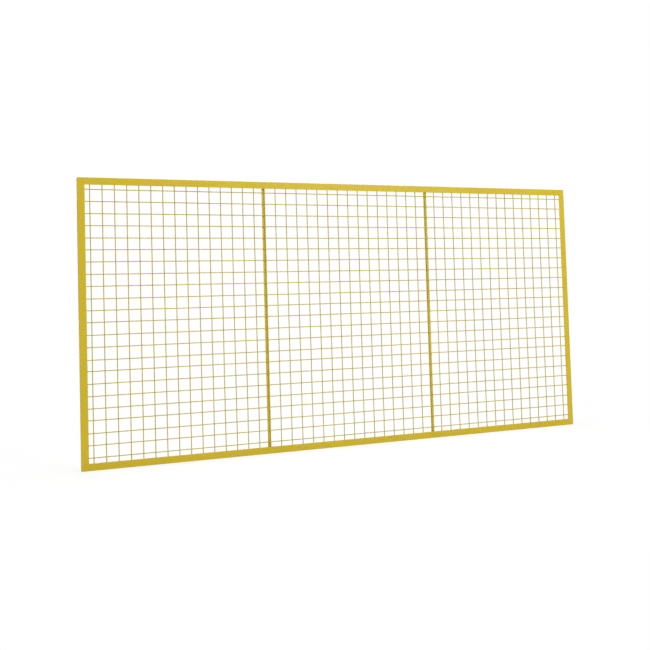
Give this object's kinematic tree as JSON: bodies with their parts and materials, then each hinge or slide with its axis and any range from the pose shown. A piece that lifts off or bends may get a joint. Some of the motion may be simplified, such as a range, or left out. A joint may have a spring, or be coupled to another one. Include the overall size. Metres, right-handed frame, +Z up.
{
  "type": "machine guard fence panel",
  "caption": "Long rectangular guard fence panel: mitred steel angle frame, welded square wire mesh behind its front leg, upright flat bars behind the mesh, yellow powder coat.",
  "frame": {"origin": "middle of the left stile's outer face, which lies against a post", "axes": "+X along the panel from the left stile to the right stile, -Y towards the viewer (front face), +Z up"},
  "size_m": [2.4, 0.03, 1.2],
  "materials": {
    "frame_paint": "satin powder coat",
    "wire_paint": "satin powder coat"
  },
  "bodies": {
    "root": {"top_rail": "frame_paint", "bottom_rail": "frame_paint", "left_stile": "frame_paint", "right_stile": "frame_paint", "left_mullion": "frame_paint", "right_mullion": "frame_paint", "mesh_left": "wire_paint", "mesh_middle": "wire_paint", "mesh_right": "wire_paint"}
  },
  "joints": []
}
